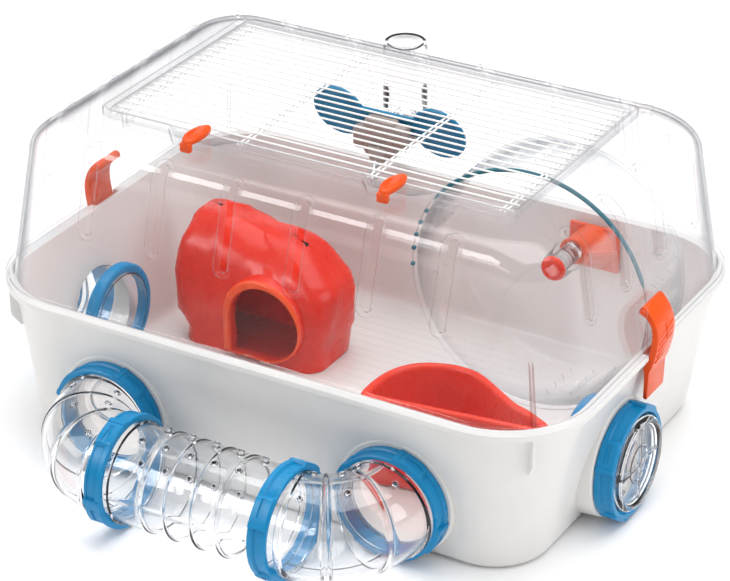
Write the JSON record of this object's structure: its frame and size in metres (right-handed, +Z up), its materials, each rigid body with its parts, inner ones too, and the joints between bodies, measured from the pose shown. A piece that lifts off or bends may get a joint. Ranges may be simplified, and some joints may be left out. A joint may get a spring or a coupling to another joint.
{
  "type": "hamster cage",
  "caption": "Small hamster cage: opaque tray, clear lid with a wire roof door and side clips, outside tube run, capped ports, running wheel, house, bowl and bottle.",
  "frame": {"origin": "middle of the tray's flat underside", "axes": "+X to the right as seen from the tube side, +Y to the back, +Z up; the tube run is on the -Y side"},
  "size_m": [0.4186, 0.388, 0.2142],
  "materials": {
    "white_tray": "opaque off-white moulded plastic, semi-gloss",
    "clear_plastic": "clear moulded polystyrene",
    "white_wire": "white powder-coated wire",
    "orange_plastic": "glossy orange moulded plastic",
    "red_orange_plastic": "glossy red-orange moulded plastic",
    "blue_plastic": "glossy blue moulded plastic",
    "teal_plastic": "translucent teal moulded plastic",
    "grey_plastic": "smoky grey moulded plastic",
    "steel": "polished steel"
  },
  "bodies": {
    "tray": {"base_tray": "white_tray", "wheel_bracket": "orange_plastic", "wheel_axle": "clear_plastic", "wheel_hub_cap": "orange_plastic"},
    "lid": {"lid_dome": "clear_plastic", "bottle_nozzle": "grey_plastic", "bottle_holder": "blue_plastic", "spout_tube": "steel", "spout_ball": "steel"},
    "door": {"door_frame": "clear_plastic", "wire_grille": "white_wire"},
    "latch_left": {"door_latch_left": "orange_plastic"},
    "latch_right": {"door_latch_right": "orange_plastic"},
    "clip_left": {"side_clip_left": "orange_plastic"},
    "clip_right": {"side_clip_right": "orange_plastic"},
    "tube_run": {"elbow_left": "clear_plastic", "elbow_right": "clear_plastic", "straight_tube": "clear_plastic"},
    "ring_front_left": {"ring_front_left": "blue_plastic"},
    "ring_front_right": {"ring_front_right": "blue_plastic"},
    "ring_tube_left": {"ring_tube_left": "blue_plastic"},
    "ring_tube_right": {"ring_tube_right": "blue_plastic"},
    "ring_side_left": {"ring_side_left": "blue_plastic"},
    "ring_side_right": {"ring_side_right": "blue_plastic"},
    "cap_left": {"port_cap_left": "clear_plastic"},
    "cap_right": {"port_cap_right": "clear_plastic"},
    "wheel": {"wheel_drum": "clear_plastic", "wheel_front_ring": "teal_plastic"},
    "house": {"house": "red_orange_plastic"},
    "bowl": {"food_bowl": "red_orange_plastic"},
    "bottle": {"bottle": "clear_plastic"}
  },
  "joints": [
    {"name": "lid_lift", "type": "slide", "parent": "tray", "child": "lid", "axis": [0, 0, 1], "range_m": [0, 0.2]},
    {"name": "door_hinge", "type": "hinge", "parent": "lid", "child": "door", "pos_m": [0, 0.089, 0.2085], "axis": [-1, 0, 0], "range_deg": [0, 100]},
    {"name": "latch_left_slide", "type": "slide", "parent": "door", "child": "latch_left", "axis": [0, 1, 0], "range_m": [0, 0.0035]},
    {"name": "latch_right_slide", "type": "slide", "parent": "door", "child": "latch_right", "axis": [0, 1, 0], "range_m": [0, 0.0035]},
    {"name": "clip_left_hinge", "type": "hinge", "parent": "lid", "child": "clip_left", "pos_m": [-0.1972, 0, 0.129], "axis": [0, 1, 0], "range_deg": [0, 100]},
    {"name": "clip_right_hinge", "type": "hinge", "parent": "lid", "child": "clip_right", "pos_m": [0.1972, 0, 0.129], "axis": [0, -1, 0], "range_deg": [0, 100]},
    {"name": "tube_pull", "type": "slide", "parent": "tray", "child": "tube_run", "axis": [0, -1, 0], "range_m": [0, 0.05]},
    {"name": "ring_front_left_turn", "type": "hinge", "parent": "tray", "child": "ring_front_left", "pos_m": [-0.1, -0.1438, 0.037], "axis": [0, -1, 0], "range_deg": [0, 20]},
    {"name": "ring_front_right_turn", "type": "hinge", "parent": "tray", "child": "ring_front_right", "pos_m": [0.1, -0.1438, 0.037], "axis": [0, -1, 0], "range_deg": [0, 20]},
    {"name": "ring_tube_left_turn", "type": "hinge", "parent": "tube_run", "child": "ring_tube_left", "pos_m": [-0.057, -0.1895, 0.037], "axis": [1, 0, 0], "range_deg": [0, 20]},
    {"name": "ring_tube_right_turn", "type": "hinge", "parent": "tube_run", "child": "ring_tube_right", "pos_m": [0.057, -0.1895, 0.037], "axis": [1, 0, 0], "range_deg": [0, 20]},
    {"name": "ring_side_left_turn", "type": "hinge", "parent": "tray", "child": "ring_side_left", "pos_m": [-0.1996, -0.031, 0.037], "axis": [-1, 0, 0], "range_deg": [0, 20]},
    {"name": "ring_side_right_turn", "type": "hinge", "parent": "tray", "child": "ring_side_right", "pos_m": [0.1996, -0.031, 0.037], "axis": [-1, 0, 0], "range_deg": [0, 20]},
    {"name": "cap_left_pull", "type": "slide", "parent": "tray", "child": "cap_left", "axis": [-1, 0, 0], "range_m": [0, 0.03]},
    {"name": "cap_right_pull", "type": "slide", "parent": "tray", "child": "cap_right", "axis": [1, 0, 0], "range_m": [0, 0.03]},
    {"name": "wheel_spin", "type": "hinge", "parent": "tray", "child": "wheel", "pos_m": [0.096, 0.07, 0.093], "axis": [0, 1, 0], "continuous": true},
    {"name": "house_lift", "type": "slide", "parent": "tray", "child": "house", "axis": [0, 0, 1], "range_m": [0, 0.08]},
    {"name": "bowl_lift", "type": "slide", "parent": "tray", "child": "bowl", "axis": [0, 0, 1], "range_m": [0, 0.08]},
    {"name": "bottle_lift", "type": "slide", "parent": "lid", "child": "bottle", "axis": [0, 0, 1], "range_m": [0, 0.03]}
  ]
}
